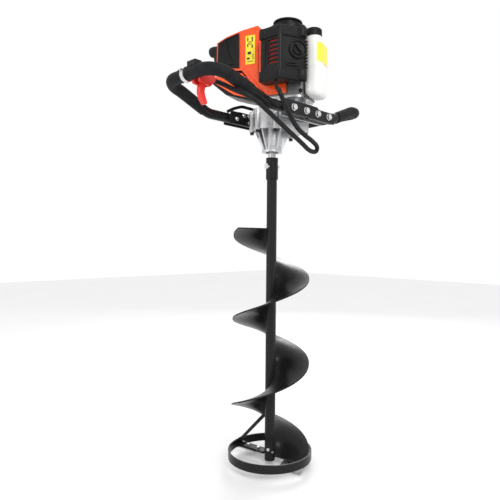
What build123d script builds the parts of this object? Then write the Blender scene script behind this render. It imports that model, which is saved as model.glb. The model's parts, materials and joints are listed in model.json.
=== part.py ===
"""Petrol ice auger: a two-stroke powerhead on a loop-handle frame drives a long ice bit.

Millimetres, +Z up.  The origin lies on the bit axis at the level of the blade tips.
+X runs along the handle frame, +Y towards the far handle plate.
The engine stands on its own vertical crank axis, beside the bit axis, and its cylinder lies
along the engine's -x direction ("u" below), with the carburettor on its -y side ("w" below).
"""
from build123d import *
from math import cos, sin, tan, pi, radians, atan2, sqrt, hypot, acos
import os

os.makedirs("parts", exist_ok=True)


def write(piece, label):
    """Label a finished piece and write it to its own STEP file."""
    piece.part.label = label
    export_step(piece.part, f"parts/{label}.step")


# ---------------------------------------------------------------- driving dimensions
# ice bit
tube_r, tube_wall = 12.8, 2.4
tube_bottom, tube_top = 4.0, 690.0
ring_r, ring_wall, ring_height, ring_bottom = 101.5, 3.0, 19.0, 12.0
flight_r, flight_pitch, flight_thickness = 95.0, 206.0, 3.4
flight_start, flight_end = -78.0, 887.0            # degrees round the bit axis
flight_zero_z = 58.3                               # flight's height at angle 0
weld_bite = 0.3                                    # how far welded pieces sink into each other
blade_angles = (-84.0, 96.0)
blade_length, blade_width, blade_thickness, blade_pitch_angle = 62.0, 27.0, 3.0, 25.0
# output line
shaft_r, sleeve_r, sleeve_top = 10.0, 15.4, 744.0
running_clearance = 0.05
# gearbox
boss_r, boss_bottom, rim_z, cover_z, gearbox_top = 25.0, 758.0, 812.0, 852.0, 866.0
gear_bowl_r, layshaft_bowl_r, crank_bowl_r, gearbox_wall = 46.0, 39.0, 30.0, 4.0
lug_r = 7.5
# engine position and stack
crank_x, crank_y, engine_turn = 26.4, -27.3, 20.0
clutch_housing_top, fan_housing_top, crankcase_top = 892.0, 946.0, 1062.0
crank_mid, crank_r = 1016.0, 8.0                # cylinder axis height, crankshaft journal radius
recoil_top, cap_top, cap_r = 1077.0, 1096.0, 38.0
# handle frame
plate_y, handle_z, handle_reach, grip_z = 103.5, 849.0, 266.0, 896.0
handle_tube_r, grip_r = 12.5, 14.5

# ---------------------------------------------------------------- reference planes
turn = radians(engine_turn)
u_dir = (sin(turn), -cos(turn), 0)
w_dir = (cos(turn), sin(turn), 0)
minus_w = (-cos(turn), -sin(turn), 0)
crank_point = (crank_x, crank_y, 0)
engine = Plane(origin=crank_point, x_dir=u_dir, z_dir=(0, 0, 1))
side = Plane(origin=crank_point, x_dir=u_dir, z_dir=minus_w)     # looks at the carburettor side
end = Plane(origin=crank_point, x_dir=w_dir, z_dir=u_dir)        # looks at the tank end


def engine_point(u, w, z):
    """A point given in the engine's own directions, in the part's frame."""
    return (crank_x + u * u_dir[0] + w * w_dir[0], crank_y + u * u_dir[1] + w * w_dir[1], z)


def flight_z(angle):
    """Height of the flight's middle surface at an angle round the bit axis."""
    return flight_zero_z + flight_pitch * angle / 360


# ---------------------------------------------------------------- gears
def involute(angle):
    return tan(angle) - angle


def gear_outline(teeth, module, thinning, tip=0.85, root=1.2, phase=0.0):
    """Corner points of a spur gear with four points to a flank."""
    pitch_r = teeth * module / 2
    base_r = pitch_r * cos(radians(20))
    tip_r, root_r = pitch_r + tip * module, pitch_r - root * module
    half = (pi * module / 2 - thinning) / 2 / pitch_r
    low = max(base_r, root_r + 0.02 * module)
    flank = []
    for step in range(4):
        r = low + (tip_r - low) * step / 3
        spread = half + involute(radians(20)) - involute(acos(min(1.0, base_r / r)))
        flank.append((r, spread))
    points = []
    for tooth in range(teeth):
        centre = 2 * pi * tooth / teeth + phase
        foot = flank[0][1]
        rising = [(root_r, -foot)] + [(r, -s) for r, s in flank]
        falling = [(r, s) for r, s in reversed(flank)] + [(root_r, foot)]
        points += [(r * cos(centre + a), r * sin(centre + a)) for r, a in rising + falling]
    return points


pinion_teeth, wheel_teeth, first_module = 10, 65, 1.0
second_pinion_teeth, output_teeth, second_module = 11, 50, 1.5
first_centres = (pinion_teeth + wheel_teeth) * first_module / 2
second_centres = (second_pinion_teeth + output_teeth) * second_module / 2
crank_distance = hypot(crank_x, crank_y)
along = (second_centres ** 2 - first_centres ** 2 + crank_distance ** 2) / (2 * crank_distance)
across = sqrt(second_centres ** 2 - along ** 2)
unit_x, unit_y = crank_x / crank_distance, crank_y / crank_distance
layshaft_x = along * unit_x - across * unit_y
layshaft_y = along * unit_y + across * unit_x
to_lay = atan2(layshaft_y, layshaft_x)
lay_to_crank = atan2(crank_y - layshaft_y, crank_x - layshaft_x)
gear_thinning = 0.22
second_gear_z, second_gear_width = 824.0, 13.0
first_gear_z, first_gear_width = 839.0, 10.0

# ---------------------------------------------------------------- shared shapes
def round_part(plane, low, high, outer, inner=0.0, centre=(0, 0)):
    """A disc, rod or ring standing on a plane."""
    with BuildPart() as piece:
        with BuildSketch(plane.offset(low)):
            with Locations(centre):
                Circle(outer)
                if inner:
                    Circle(inner, mode=Mode.SUBTRACT)
        extrude(amount=high - low)
    return piece.part


def slab(plane, low, high, centre, width, height, corner=0.0):
    """A rectangular block on a plane, with rounded upright corners if asked."""
    with BuildPart() as piece:
        with BuildSketch(plane.offset(low)):
            with Locations(centre):
                if corner:
                    RectangleRounded(width, height, corner)
                else:
                    Rectangle(width, height)
        extrude(amount=high - low)
    return piece.part


def prism(plane, low, high, points):
    """A straight-sided block with a polygon outline."""
    with BuildPart() as piece:
        with BuildSketch(plane.offset(low)):
            with BuildLine():
                Polyline(*points, close=True)
            make_face()
        extrude(amount=high - low)
    return piece.part


def hex_bolts(plane, points, head, across, shank_r, length):
    """Hexagon bolts: heads stand on the plane and shanks go down from it."""
    with BuildPart() as piece:
        with BuildSketch(plane):
            with Locations(*points):
                RegularPolygon(across / 2 / cos(pi / 6), 6)
        extrude(amount=head)
        with BuildSketch(plane):
            with Locations(*points):
                Circle(shank_r)
        extrude(amount=-length)
    return piece.part


# ================================================================ ice bit
with BuildPart() as auger_tube:
    with BuildSketch(Plane.XY.offset(tube_bottom)):
        Circle(tube_r)
        Circle(tube_r - tube_wall, mode=Mode.SUBTRACT)
    extrude(amount=tube_top - tube_bottom)
    with BuildSketch(Plane.XZ.offset(-20)):
        with Locations((0, ring_bottom + 6)):
            Circle(3.0)
    extrude(amount=40, mode=Mode.SUBTRACT)
write(auger_tube, "auger_tube")

flight_turns = (flight_end - flight_start) / 360
flight_inner_r = tube_r - weld_bite
flight_middle_r = (flight_inner_r + flight_r) / 2
with BuildPart() as flight:
    with BuildLine() as flight_path:
        Helix(
            pitch=flight_pitch,
            height=flight_pitch * flight_turns,
            radius=flight_middle_r,
            center=(0, 0, flight_z(flight_start)),
        )
    profile_plane = Plane(origin=flight_path.line @ 0, x_dir=(1, 0, 0), z_dir=flight_path.line % 0)
    with BuildSketch(profile_plane):
        Rectangle(flight_r - flight_inner_r, flight_thickness)
    sweep(path=flight_path.line, is_frenet=True)
flight.part = flight.part.rotate(Axis.Z, flight_start)
write(flight, "flight")

with BuildPart() as cutting_ring:
    with BuildSketch(Plane.XY.offset(ring_bottom)):
        Circle(ring_r)
        Circle(ring_r - ring_wall, mode=Mode.SUBTRACT)
    extrude(amount=ring_height)
write(cutting_ring, "cutting_ring")


def bar_between(start, finish, width, thickness, flat_dir):
    """A flat bar from one point to another, its width lying along flat_dir."""
    run = Vector(*finish) - Vector(*start)
    bar_plane = Plane(origin=start, x_dir=flat_dir, z_dir=run)
    with BuildPart() as bar:
        with BuildSketch(bar_plane):
            Rectangle(width, thickness)
        extrude(amount=run.length)
    return bar.part


arm_angle = radians(blade_angles[1])
arm_out = (cos(arm_angle), sin(arm_angle))
arm_side = (-sin(arm_angle), cos(arm_angle), 0)
arm_inner, arm_outer = tube_r - weld_bite, ring_r - ring_wall + weld_bite
arm_z, strut_top_z = 20.0, 112.0
ring_stay = bar_between(
    (arm_inner * arm_out[0], arm_inner * arm_out[1], strut_top_z),
    (arm_outer * arm_out[0], arm_outer * arm_out[1], ring_bottom + ring_height - 6), 9, 5, arm_side)
blade_arm = bar_between(
    (arm_inner * arm_out[0], arm_inner * arm_out[1], arm_z),
    (arm_outer * arm_out[0], arm_outer * arm_out[1], arm_z), 22, 5, arm_side)
with BuildPart() as ring_struts:
    add(ring_stay)
    add(blade_arm)
write(ring_struts, "ring_struts")


def blade_plane(angle, tilt, z):
    """A plane on the blade's top face: x runs outwards, the face drops clockwise."""
    a = radians(angle)
    t = radians(tilt)
    return Plane(
        origin=(0, 0, z),
        x_dir=(cos(a), sin(a), 0),
        z_dir=(sin(a) * sin(t), -cos(a) * sin(t), cos(t)),
    )


blade_outer_r = 97.5
blade_mid = blade_outer_r - blade_length / 2
blade_front_plane = blade_plane(blade_angles[0], blade_pitch_angle, 4.6)
blade_rear_plane = blade_plane(blade_angles[1], 0, arm_z - 2.5 - 0.02)
with BuildPart() as blades:
    for face in (blade_front_plane, blade_rear_plane):
        with BuildSketch(face):
            with Locations((blade_mid, 0)):
                Rectangle(blade_length, blade_width)
            with Locations((blade_mid - 16, 0), (blade_mid + 16, 0)):
                Circle(2.6, mode=Mode.SUBTRACT)
        extrude(amount=-blade_thickness)
write(blades, "blades")

with BuildPart() as blade_bolts:
    for face in (blade_front_plane, blade_rear_plane):
        with BuildSketch(face.offset(-blade_thickness - 3.5)):
            with Locations((blade_mid - 16, 0), (blade_mid + 16, 0)):
                RegularPolygon(4.6, 6)
        extrude(amount=3.5)
        with BuildSketch(face.offset(-blade_thickness)):
            with Locations((blade_mid - 16, 0), (blade_mid + 16, 0)):
                Circle(2.55)
        extrude(amount=blade_thickness)
write(blade_bolts, "blade_bolts")

with BuildPart() as coupling_sleeve:
    with BuildSketch(Plane.XY.offset(tube_top - 12)):
        Circle(tube_r - tube_wall)
        Circle(shaft_r, mode=Mode.SUBTRACT)
    extrude(amount=12)
    with BuildSketch(Plane.XY.offset(tube_top)):
        Circle(sleeve_r)
        Circle(shaft_r, mode=Mode.SUBTRACT)
    extrude(amount=sleeve_top - tube_top)
    with BuildSketch(Plane.YZ.offset(-30)):
        with Locations((0, 722)):
            Circle(4.0)
    extrude(amount=60, mode=Mode.SUBTRACT)
write(coupling_sleeve, "coupling_sleeve")

bolt_z = 722.0
with BuildPart() as coupling_bolt:
    with BuildSketch(Plane.YZ.offset(-sleeve_r - 7)):
        with Locations((0, bolt_z)):
            Circle(3.95)
    extrude(amount=2 * sleeve_r + 7)
    with BuildSketch(Plane.YZ.offset(sleeve_r)):
        with Locations((0, bolt_z)):
            RegularPolygon(7.5, 6)
    extrude(amount=5.5)
    with BuildSketch(Plane.YZ.offset(-sleeve_r - 6)):
        with Locations((0, bolt_z)):
            RegularPolygon(7.5, 6)
    extrude(amount=6)
write(coupling_bolt, "coupling_bolt")

output_shaft_top = 862.0
with BuildPart() as output_shaft:
    with BuildSketch(Plane.XY.offset(681)):
        Circle(shaft_r - 0.02)
    extrude(amount=output_shaft_top - 681)
    with BuildSketch(Plane.YZ.offset(-30)):
        with Locations((0, bolt_z)):
            Circle(4.0)
    extrude(amount=60, mode=Mode.SUBTRACT)
write(output_shaft, "output_shaft")

with BuildPart() as output_gear:
    with BuildSketch(Plane.XY.offset(second_gear_z)):
        with BuildLine():
            Polyline(*gear_outline(output_teeth, second_module, gear_thinning, phase=to_lay), close=True)
        make_face()
        Circle(shaft_r - 0.02, mode=Mode.SUBTRACT)
        with PolarLocations(24, 6):
            Circle(5, mode=Mode.SUBTRACT)
    extrude(amount=second_gear_width)
write(output_gear, "output_gear")

# ================================================================ gearbox
def bowl_outline(grow, lugs=()):
    """Gearbox plan: the output gear's bowl, the layshaft's bowl and the engine side, joined."""
    with BuildSketch() as plan:
        with BuildSketch(mode=Mode.ADD):
            Circle(gear_bowl_r + grow)
            with Locations((layshaft_x, layshaft_y)):
                Circle(layshaft_bowl_r + grow)
            with Locations((crank_x, crank_y)):
                Circle(crank_bowl_r + grow)
            if lugs:
                with Locations(*lugs):
                    Circle(lug_r)
        make_hull()
    return plan.sketch


def round_point(centre, radius, angle):
    """A point at an angle on a circle about centre."""
    return (centre[0] + radius * cos(radians(angle)), centre[1] + radius * sin(radians(angle)))


crank_xy, layshaft_xy = (crank_x, crank_y), (layshaft_x, layshaft_y)
bolt_points = [round_point((0, 0), gear_bowl_r + 5.5, a) for a in (-127, 134, 178)]
crank_lug = round_point(crank_xy, 46.5, -50)
bolt_points += [crank_lug]
bolt_points += [round_point(layshaft_xy, 44.5, a) for a in (15, 80)]

seat_top = 822.0
with BuildPart() as gearbox_housing:
    with BuildSketch(Plane.XY.offset(rim_z)):
        add(bowl_outline(gearbox_wall, [crank_lug]))
    extrude(amount=cover_z - rim_z)
    with BuildSketch(Plane.XY.offset(boss_bottom)):
        Circle(boss_r - 2)
    with BuildSketch(Plane.XY.offset(rim_z)):
        Circle(boss_r)
    loft()
    with BuildSketch(Plane.XY.offset(boss_bottom)):
        Circle(boss_r + 1)
    extrude(amount=5)
    for angle in (-170, -110, -30, 45, 110, 170):
        web_plane = Plane(
            origin=(0, 0, 0),
            x_dir=(cos(radians(angle)), sin(radians(angle)), 0),
            z_dir=(sin(radians(angle)), -cos(radians(angle)), 0),
        )
        with BuildSketch(web_plane.offset(-1.75)):
            with BuildLine():
                Polyline(
                    (boss_r - 8, boss_bottom + 6), (boss_r, boss_bottom + 6),
                    (gear_bowl_r + 2, rim_z + 2), (boss_r - 8, rim_z + 2), close=True)
            make_face()
        extrude(amount=3.5)
    for x, y in bolt_points:
        with BuildSketch(Plane.XY.offset(rim_z - 3)):
            with Locations((x, y)):
                Circle(7.0)
        extrude(amount=cover_z - rim_z + 3)
    # inner space for both gear stages, then the bearing seats
    with BuildSketch(Plane.XY.offset(rim_z + gearbox_wall)):
        add(bowl_outline(0))
    extrude(amount=cover_z, mode=Mode.SUBTRACT)
    for x, y in bolt_points:
        with BuildSketch(Plane.XY.offset(rim_z + 2)):
            with Locations((x, y)):
                Circle(7.0)
        extrude(amount=cover_z - rim_z - 2)
        with BuildSketch(Plane.XY.offset(rim_z - 10)):
            with Locations((x, y)):
                Circle(3.0)
        extrude(amount=cover_z, mode=Mode.SUBTRACT)
    with BuildSketch(Plane.XY.offset(boss_bottom - 1)):
        Circle(shaft_r + 3)
    extrude(amount=rim_z, mode=Mode.SUBTRACT)
    with BuildSketch(Plane.XY.offset(boss_bottom - 1)):
        Circle(17)
    extrude(amount=9, mode=Mode.SUBTRACT)
    with BuildSketch(Plane.XY.offset(rim_z - 14)):
        Circle(17)
    extrude(amount=rim_z, mode=Mode.SUBTRACT)
    add(round_part(Plane.XY, rim_z + gearbox_wall - 0.5, seat_top, 14, 11, layshaft_xy))
write(gearbox_housing, "gearbox_housing")

# the cover closes the bowls, seats the upper bearings and carries the handle frame's arms
shaft_bearing_r, small_bearing_r, pinion_bearing_r, layshaft_r, drum_shaft_r = 17.0, 11.0, 13.0, 6.0, 6.2
arm_low, arm_high = cover_z, cover_z + 12
arm_span = (4.0, 62.0)
pad_span = (-50.0, 106.0)
tube_y = plate_y - 2.0 - handle_tube_r
with BuildPart() as gearbox_cover:
    with BuildSketch(Plane.XY.offset(cover_z)):
        add(bowl_outline(gearbox_wall, [crank_lug]))
    extrude(amount=gearbox_top - cover_z)
    for x, y in bolt_points:
        add(round_part(Plane.XY, cover_z, gearbox_top - 4, 7.0, 0, (x, y)))
    middle_x = (arm_span[0] + arm_span[1]) / 2
    for sign in (-1, 1):
        add(slab(Plane.XY, arm_low, arm_high, (middle_x, sign * 57), arm_span[1] - arm_span[0], 38))
        pad_y = sign * (tube_y - handle_tube_r - 2.5)
        pad_x = (pad_span[0] + pad_span[1]) / 2
        add(slab(Plane.XY, handle_z - 15, arm_high + 2, (pad_x, pad_y), pad_span[1] - pad_span[0], 5))
    add(round_part(Plane.XY, cover_z - 1, cover_z + 10, shaft_bearing_r), mode=Mode.SUBTRACT)
    add(round_part(Plane.XY, cover_z - 1, cover_z + 8, small_bearing_r, 0, layshaft_xy), mode=Mode.SUBTRACT)
    add(round_part(Plane.XY, cover_z - 1, gearbox_top + 1, pinion_bearing_r, 0, crank_xy),
        mode=Mode.SUBTRACT)
    for x, y in bolt_points:
        add(round_part(Plane.XY, cover_z - 1, gearbox_top + 1, 3.0, 0, (x, y)), mode=Mode.SUBTRACT)
    plate_bolt_x = (-38.0, 7.0, 50.0, 94.0)
    with BuildSketch(Plane.XZ.offset(-150)):
        with Locations(*[(x, handle_z) for x in plate_bolt_x]):
            Circle(4.2)
    extrude(amount=300, mode=Mode.SUBTRACT)
write(gearbox_cover, "gearbox_cover")

with BuildPart() as gearbox_bolts:
    add(hex_bolts(Plane.XY.offset(rim_z - 3).rotated((180, 0, 0)), [(x, -y) for x, y in bolt_points],
                  6.0, 9.0, 2.95, gearbox_top - rim_z - 2))
write(gearbox_bolts, "gearbox_bolts")

with BuildPart() as shaft_seal:
    add(round_part(Plane.XY, boss_bottom + 1, boss_bottom + 7.9, 17, shaft_r + running_clearance))
write(shaft_seal, "shaft_seal")

seat_floor = rim_z + gearbox_wall
with BuildPart() as shaft_bearings:
    add(round_part(Plane.XY, rim_z - 14, rim_z - 2, 17, shaft_r + running_clearance))
    add(round_part(Plane.XY, cover_z, cover_z + 10, shaft_bearing_r, shaft_r + running_clearance))
    add(round_part(Plane.XY, seat_floor, seat_top, small_bearing_r, layshaft_r + running_clearance,
                   layshaft_xy))
    add(round_part(Plane.XY, cover_z, cover_z + 8, small_bearing_r, layshaft_r + running_clearance,
                   layshaft_xy))
    add(round_part(Plane.XY, cover_z + 1, gearbox_top - 1, pinion_bearing_r,
                   drum_shaft_r + running_clearance, crank_xy))
    for seat_low in (crank_mid - 44, crank_mid + 32):
        add(round_part(engine, seat_low, seat_low + 12, 17, crank_r + running_clearance))
write(shaft_bearings, "shaft_bearings")


def gear_part(low, width, teeth, module, phase, centre, bore):
    """A spur gear standing on a level plane."""
    outline = gear_outline(teeth, module, gear_thinning, phase=phase)
    with BuildPart() as gear:
        with BuildSketch(Plane.XY.offset(low)):
            with BuildLine():
                Polyline(*[(centre[0] + x, centre[1] + y) for x, y in outline], close=True)
            make_face()
            if bore:
                with Locations(centre):
                    Circle(bore, mode=Mode.SUBTRACT)
        extrude(amount=width)
    return gear.part


second_phase = to_lay + pi + pi / second_pinion_teeth
with BuildPart() as layshaft:
    add(round_part(Plane.XY, seat_floor + 0.5, cover_z + 7.5, layshaft_r, 0, layshaft_xy))
    add(gear_part(second_gear_z, second_gear_width, second_pinion_teeth, second_module, second_phase,
                  layshaft_xy, 0))
    add(gear_part(first_gear_z, first_gear_width, wheel_teeth, first_module, lay_to_crank, layshaft_xy, 0))
write(layshaft, "layshaft")

drum_bottom, drum_top, drum_r, drum_wall = 869.0, 889.0, 38.0, 3.0
first_phase = lay_to_crank + pi + pi / pinion_teeth
with BuildPart() as clutch_drum:
    add(round_part(engine, drum_bottom, drum_bottom + 3, drum_r))
    add(round_part(engine, drum_bottom, drum_top, drum_r, drum_r - drum_wall))
    add(round_part(engine, cover_z + 0.5, drum_bottom, drum_shaft_r))
    add(gear_part(first_gear_z, cover_z + 0.5 - first_gear_z, pinion_teeth, first_module, first_phase, crank_xy, 0))
write(clutch_drum, "clutch_drum")

# ================================================================ clutch and engine
clutch_wall, clutch_housing_r = 4.0, 47.0
with BuildPart() as clutch_housing:
    add(round_part(engine, gearbox_top, clutch_housing_top, clutch_housing_r))
    add(slab(engine, gearbox_top, gearbox_top + 6, (0, 0), 92, 92, 18))
    add(slab(engine, clutch_housing_top - 6, clutch_housing_top, (4, 0), 108, 96, 18))
    add(round_part(engine, gearbox_top - 1, clutch_housing_top + 1, clutch_housing_r - clutch_wall),
        mode=Mode.SUBTRACT)
write(clutch_housing, "clutch_housing")

shoe_low, shoe_high = 874.0, 886.0
with BuildPart() as clutch_shoes:
    add(round_part(engine, shoe_low, shoe_high, drum_r - drum_wall - 1.2, 16))
    add(slab(engine, shoe_low - 1, shoe_high + 1, (0, 0), 90, 5), mode=Mode.SUBTRACT)
    add(round_part(engine, shoe_high + 0.2, shoe_high + 4, 30, 8))
    add(round_part(engine, shoe_low, shoe_high + 0.2, 12, 8))
write(clutch_shoes, "clutch_shoes")

flywheel_r = 42.0
with BuildPart() as fan_housing:
    add(slab(engine, clutch_housing_top, fan_housing_top, (5, 0), 112, 98, 16))
    add(round_part(engine, clutch_housing_top + 5, fan_housing_top - 5, flywheel_r + 3), mode=Mode.SUBTRACT)
    add(round_part(engine, clutch_housing_top - 1, clutch_housing_top + 6, 20), mode=Mode.SUBTRACT)
    add(round_part(engine, fan_housing_top - 6, fan_housing_top + 1, 12), mode=Mode.SUBTRACT)
write(fan_housing, "fan_housing")

with BuildPart() as flywheel:
    add(round_part(engine, 899, 907, flywheel_r, 8))
    for step in range(12):
        a = 2 * pi * step / 12
        fin = Plane(origin=crank_point, x_dir=(cos(a), sin(a), 0), z_dir=(0, 0, 1))
        add(slab(fin, 907, 930, (31, 0), 20, 3))
    add(round_part(engine, 907, 934, 16, 8))
write(flywheel, "flywheel")

chamber_r, web_r, crank_throw = 34.0, 32.0, 15.0
with BuildPart() as crankcase_block:
    add(slab(engine, fan_housing_top, crankcase_top, (7, 0), 102, 76, 10))
    add(round_part(engine, crank_mid - 32, crank_mid + 32, chamber_r), mode=Mode.SUBTRACT)
    add(round_part(engine, fan_housing_top - 1, crankcase_top + 1, crank_r + 2), mode=Mode.SUBTRACT)
    add(round_part(engine, crank_mid - 44, crank_mid - 32, 17), mode=Mode.SUBTRACT)
    add(round_part(engine, crank_mid + 32, crank_mid + 44, 17), mode=Mode.SUBTRACT)
    add(round_part(end, -46, -20, 27, 0, (0, crank_mid)), mode=Mode.SUBTRACT)
    add(round_part(side, 30, 40, 9, 0, (38, crank_mid)), mode=Mode.SUBTRACT)
for label, keep in (("crankcase_lower", Keep.BOTTOM), ("crankcase_upper", Keep.TOP)):
    with BuildPart() as case_half:
        add(crankcase_block.part)
        split(bisect_by=engine.offset(crank_mid), keep=keep)
    write(case_half, label)

web_gap = 7.0
with BuildPart() as crankshaft:
    add(round_part(engine, shoe_low + 0.5, crank_mid - web_gap, crank_r))
    add(round_part(engine, crank_mid + web_gap, recoil_top - 6, crank_r))
    add(round_part(engine, crank_mid - web_gap - 15, crank_mid - web_gap, web_r))
    add(round_part(engine, crank_mid + web_gap, crank_mid + web_gap + 15, web_r))
write(crankshaft, "crankshaft")

wrist_pin_u = -86.0
with BuildPart() as connecting_rod:
    add(round_part(engine, crank_mid - 5, crank_mid + 5, 11, 0, (-crank_throw, 0)))
    add(round_part(engine, crank_mid - 5, crank_mid + 5, 7.5, 0, (wrist_pin_u, 0)))
    add(slab(engine, crank_mid - 4, crank_mid + 4, ((wrist_pin_u - crank_throw) / 2, 0), 66, 9))
    add(round_part(engine, crank_mid - 6.5, crank_mid + 6.5, 6, 0, (-crank_throw, 0)))
write(connecting_rod, "connecting_rod")

bore_r = 22.0
with BuildPart() as piston:
    add(round_part(end, -104, -70, bore_r - running_clearance, 0, (0, crank_mid)))
    add(round_part(end, -98, -69, bore_r - 4, 0, (0, crank_mid)), mode=Mode.SUBTRACT)
write(piston, "piston")

with BuildPart() as cylinder:
    add(round_part(end, -138, -35, bore_r + 4.9, 0, (0, crank_mid)))
    for step in range(9):
        outer_u = -58 - 9.5 * step
        add(slab(end, outer_u - 2.2, outer_u, (0, crank_mid), 84, 84, 14))
    add(slab(end, -50, -44.2, (0, crank_mid), 60, 60, 6))
    add(round_part(end, -126, -29, bore_r, 0, (0, crank_mid)), mode=Mode.SUBTRACT)
    add(round_part(end, -140, -120, 7, 0, (0, crank_mid)), mode=Mode.SUBTRACT)
write(cylinder, "cylinder")

plug_z = crank_mid
with BuildPart() as spark_plug:
    add(round_part(end, -138, -122, 6.95, 0, (0, plug_z)))
    with BuildSketch(end.offset(-150)):
        with Locations((0, plug_z)):
            RegularPolygon(12, 6)
    extrude(amount=12)
    add(round_part(end, -190, -150, 5.5, 0, (0, plug_z)))
write(spark_plug, "spark_plug")

with BuildPart() as plug_boot:
    add(round_part(end, -200, -160, 9.5, 5.6, (0, plug_z)))
    add(round_part(end, -228, -192, 14, 0, (0, plug_z)))
    add(round_part(end, -193, -158, 5.6, 0, (0, plug_z)), mode=Mode.SUBTRACT)
write(plug_boot, "plug_boot")

# orange cooling cowl: a shell open below and towards the crankcase
cowl_half, cowl_wall = 54.0, 2.8
cowl_outer = [(-178, 996), (-178, 1050), (-150, 1062), (-108, 1072), (-60, 1078), (-50, 1067),
              (18, 1066), (18, 896), (-46, 896), (-104, 968), (-150, 974)]
cowl_inner = [(-175, 960), (-175, 1048), (-149, 1059.2), (-107.6, 1069.1), (-62, 1074.8), (20, 1074.8),
              (20, 880), (-175, 880)]
with BuildPart() as engine_cowl:
    add(prism(side, -cowl_half, cowl_half, cowl_outer))
    add(prism(side, -cowl_half + cowl_wall, cowl_half - cowl_wall, cowl_inner), mode=Mode.SUBTRACT)
    add(round_part(end, -180, -170, 17, 0, (0, plug_z)), mode=Mode.SUBTRACT)
    add(slab(side, -cowl_half - 1, -cowl_half + 4, (-92, crank_mid), 40, 44), mode=Mode.SUBTRACT)
write(engine_cowl, "engine_cowl")

with BuildPart() as cowl_side_panel:
    add(prism(side, cowl_half, cowl_half + 4,
              [(-174, 998), (-173, 1046), (-150, 1056), (-112, 1065), (-111, 974), (-150, 980)]))
write(cowl_side_panel, "cowl_side_panel")

with BuildPart() as head_shield:
    add(slab(end, -182, -178, (0, 1023), 88, 50, 8))
    add(round_part(end, -183, -177, 17, 0, (0, plug_z)), mode=Mode.SUBTRACT)
write(head_shield, "head_shield")

with BuildPart() as lower_cowl:
    lower_outer = [(-184, 962), (-184, 944), (-128, 908), (-62, 888), (-54, 896), (-104, 962)]
    add(prism(side, -20, 52, lower_outer))
    add(prism(side, -17, 49, [(-181, 970), (-181, 946), (-127, 911), (-63, 892), (-58, 897), (-107, 970)]),
        mode=Mode.SUBTRACT)
write(lower_cowl, "lower_cowl")

# ---------------------------------------------------------------- recoil starter
recoil_r, recoil_wall = 49.0, 3.0
rope_at = (20, crankcase_top + 6.5)             # where the starter rope leaves, seen from the tank end
with BuildPart() as recoil_housing:
    add(round_part(engine, crankcase_top, recoil_top, recoil_r))
    add(slab(engine, crankcase_top, crankcase_top + 8, (6, 0), 100, 74, 12))
    add(round_part(engine, crankcase_top - 1, recoil_top - 3, recoil_r - recoil_wall), mode=Mode.SUBTRACT)
    add(round_part(engine, recoil_top - 4, recoil_top + 1, 9), mode=Mode.SUBTRACT)
    add(round_part(end, 40, 57, 4, 0, rope_at), mode=Mode.SUBTRACT)
write(recoil_housing, "recoil_housing")

with BuildPart() as recoil_cap:
    add(round_part(engine, recoil_top, cap_top - 5, cap_r - 5, 30))
    add(round_part(engine, cap_top - 5, cap_top, cap_r))
    fillet(recoil_cap.edges().group_by(Axis.Z)[-1], 3)
write(recoil_cap, "recoil_cap")

pulley_low, pulley_high = crankcase_top + 2, crankcase_top + 11
with BuildPart() as starter_pulley:
    add(round_part(engine, pulley_low, pulley_high, 34, crank_r + running_clearance))
    add(round_part(engine, pulley_low + 2.5, pulley_high - 2.5, 36, 28), mode=Mode.SUBTRACT)
write(starter_pulley, "starter_pulley")

handle_u = 69.0
with BuildPart() as starter_handle:
    add(slab(end, handle_u - 12, handle_u, rope_at, 34, 12.9, 6))
    add(round_part(end, handle_u - 12.8, handle_u - 12, 5, 0, rope_at))
write(starter_handle, "starter_handle")

# ---------------------------------------------------------------- fuel system
tank_u, tank_w, tank_low, tank_high = (62.0, 105.0), (-52.0, 18.0), 886.0, 1036.0
tank_mid = ((tank_u[0] + tank_u[1]) / 2, (tank_w[0] + tank_w[1]) / 2)
tank_size = (tank_u[1] - tank_u[0], tank_w[1] - tank_w[0])
neck_r, neck_at = 15.0, (80.0, -27.0)
with BuildPart() as fuel_tank:
    add(slab(engine, tank_low, tank_high, tank_mid, *tank_size, 15))
    fillet(fuel_tank.edges().group_by(Axis.Z)[-1], 12)
    fillet(fuel_tank.edges().group_by(Axis.Z)[0], 12)
    add(round_part(engine, tank_high - 4, tank_high + 8, neck_r, 0, neck_at))
    with BuildPart(mode=Mode.SUBTRACT) as tank_space:
        add(slab(engine, tank_low + 2.5, tank_high - 2.5, tank_mid, tank_size[0] - 5, tank_size[1] - 5, 12.5))
        fillet(tank_space.edges().group_by(Axis.Z)[-1], 10)
        fillet(tank_space.edges().group_by(Axis.Z)[0], 10)
        add(round_part(engine, tank_high - 5, tank_high + 9, neck_r - 2.5, 0, neck_at))
write(fuel_tank, "fuel_tank")

with BuildPart() as fuel_cap:
    add(round_part(engine, tank_high + 1, tank_high + 20, neck_r + 4.5, 0, neck_at))
    add(round_part(engine, tank_high, tank_high + 15, neck_r + 0.08, 0, neck_at), mode=Mode.SUBTRACT)
    for angle in range(0, 360, 20):
        spot = round_point(neck_at, neck_r + 5.2, angle)
        add(round_part(engine, tank_high, tank_high + 16, 1.3, 0, spot), mode=Mode.SUBTRACT)
write(fuel_cap, "fuel_cap")

port_u = 38.0
carb_w = (62.0, 38.0)                 # distances out on the carburettor side
with BuildPart() as carburettor:
    add(slab(side, carb_w[1], carb_w[0], (port_u, crank_mid), 30, 36, 3))
    add(round_part(side, 44, 56, 13, 0, (port_u, crank_mid - 22)))
    add(round_part(side, carb_w[1] - 1, carb_w[0] + 1, 8, 0, (port_u, crank_mid)), mode=Mode.SUBTRACT)
    add(round_part(end, port_u + 10, port_u + 20, 2.55, 0, (-50, crank_mid + 12)), mode=Mode.SUBTRACT)
    add(round_part(engine, crank_mid + 6, crank_mid + 20, 2.55, 0, (port_u, -50)), mode=Mode.SUBTRACT)
write(carburettor, "carburettor")

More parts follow.
